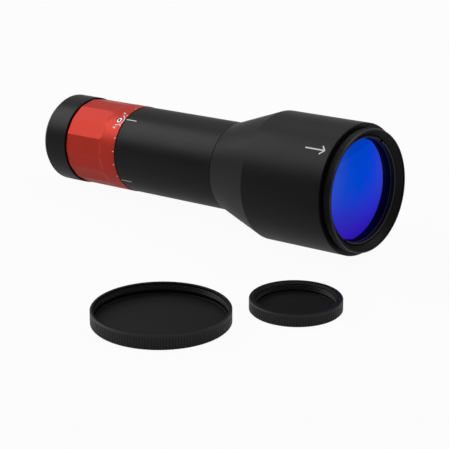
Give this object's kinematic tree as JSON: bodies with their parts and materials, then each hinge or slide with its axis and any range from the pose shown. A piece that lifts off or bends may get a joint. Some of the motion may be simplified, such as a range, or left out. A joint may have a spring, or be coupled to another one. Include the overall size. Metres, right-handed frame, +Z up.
{
  "type": "laser beam expander",
  "caption": "Telescope tube that widens a laser beam, with a red divergence ring, a large coated output lens and two loose dust caps.",
  "frame": {"origin": "on the optical axis at the rear face of the rear collar, the root of the input thread", "axes": "+X along the barrel towards the output lens, level with the surface it lies on; +Z up; the optical axis rises 3.66 degrees from +X towards +Z"},
  "size_m": [0.2263, 0.1755, 0.0647],
  "materials": {
    "black_anodised": "satin black anodised",
    "black_anodised_fine": "satin black anodised, finely turned",
    "black_inner": "matt black anodised",
    "red_anodised": "satin red anodised",
    "coated_glass": "polished with a blue antireflection coating",
    "flint_glass": "polished",
    "input_glass": "polished with an antireflection coating",
    "white_plastic": "smooth",
    "pin_steel": "ground",
    "black_steel": "blackened",
    "pad_plastic": "smooth",
    "cap_black": "satin black anodised"
  },
  "bodies": {
    "barrel": {"rear_collar": "black_anodised", "main_tube": "black_anodised", "rear_slip_washer": "white_plastic", "front_slip_washer": "white_plastic", "output_housing": "black_anodised", "output_lens_cell": "black_anodised_fine", "output_retaining_ring": "black_inner", "output_lens_crown": "coated_glass", "output_lens_flint": "flint_glass", "collar_set_screw_1": "black_steel", "collar_set_screw_2": "black_steel", "neck_set_screw_1": "black_steel", "neck_set_screw_2": "black_steel", "output_cap": "cap_black", "input_cap": "cap_black"},
    "ring": {"adjusting_ring": "red_anodised"},
    "carriage": {"input_cell": "black_inner", "drive_pin_1": "pin_steel", "drive_pin_2": "pin_steel", "input_lens_front": "input_glass", "input_lens_rear": "input_glass", "input_lens_spacer": "black_inner", "input_retaining_ring": "black_inner"},
    "lock": {"lock_screw": "black_steel", "lock_pad": "pad_plastic"}
  },
  "joints": [
    {"name": "ring_turn", "type": "hinge", "parent": "barrel", "child": "ring", "pos_m": [0, 0, 0], "axis": [0.998, 0, 0.0639], "range_deg": [-80.2, 80.2]},
    {"name": "cell_slide", "type": "slide", "parent": "barrel", "child": "carriage", "axis": [0.998, 0, 0.0639], "range_m": [-0.005, 0.005]},
    {"name": "lock_press", "type": "slide", "parent": "ring", "child": "lock", "axis": [0.0519, 0.5821, -0.8114], "range_m": [0, 0.0003]}
  ],
  "couplings": [
    {"joint": "ring_turn", "follows": "cell_slide", "rad_per_m": -279.25}
  ]
}
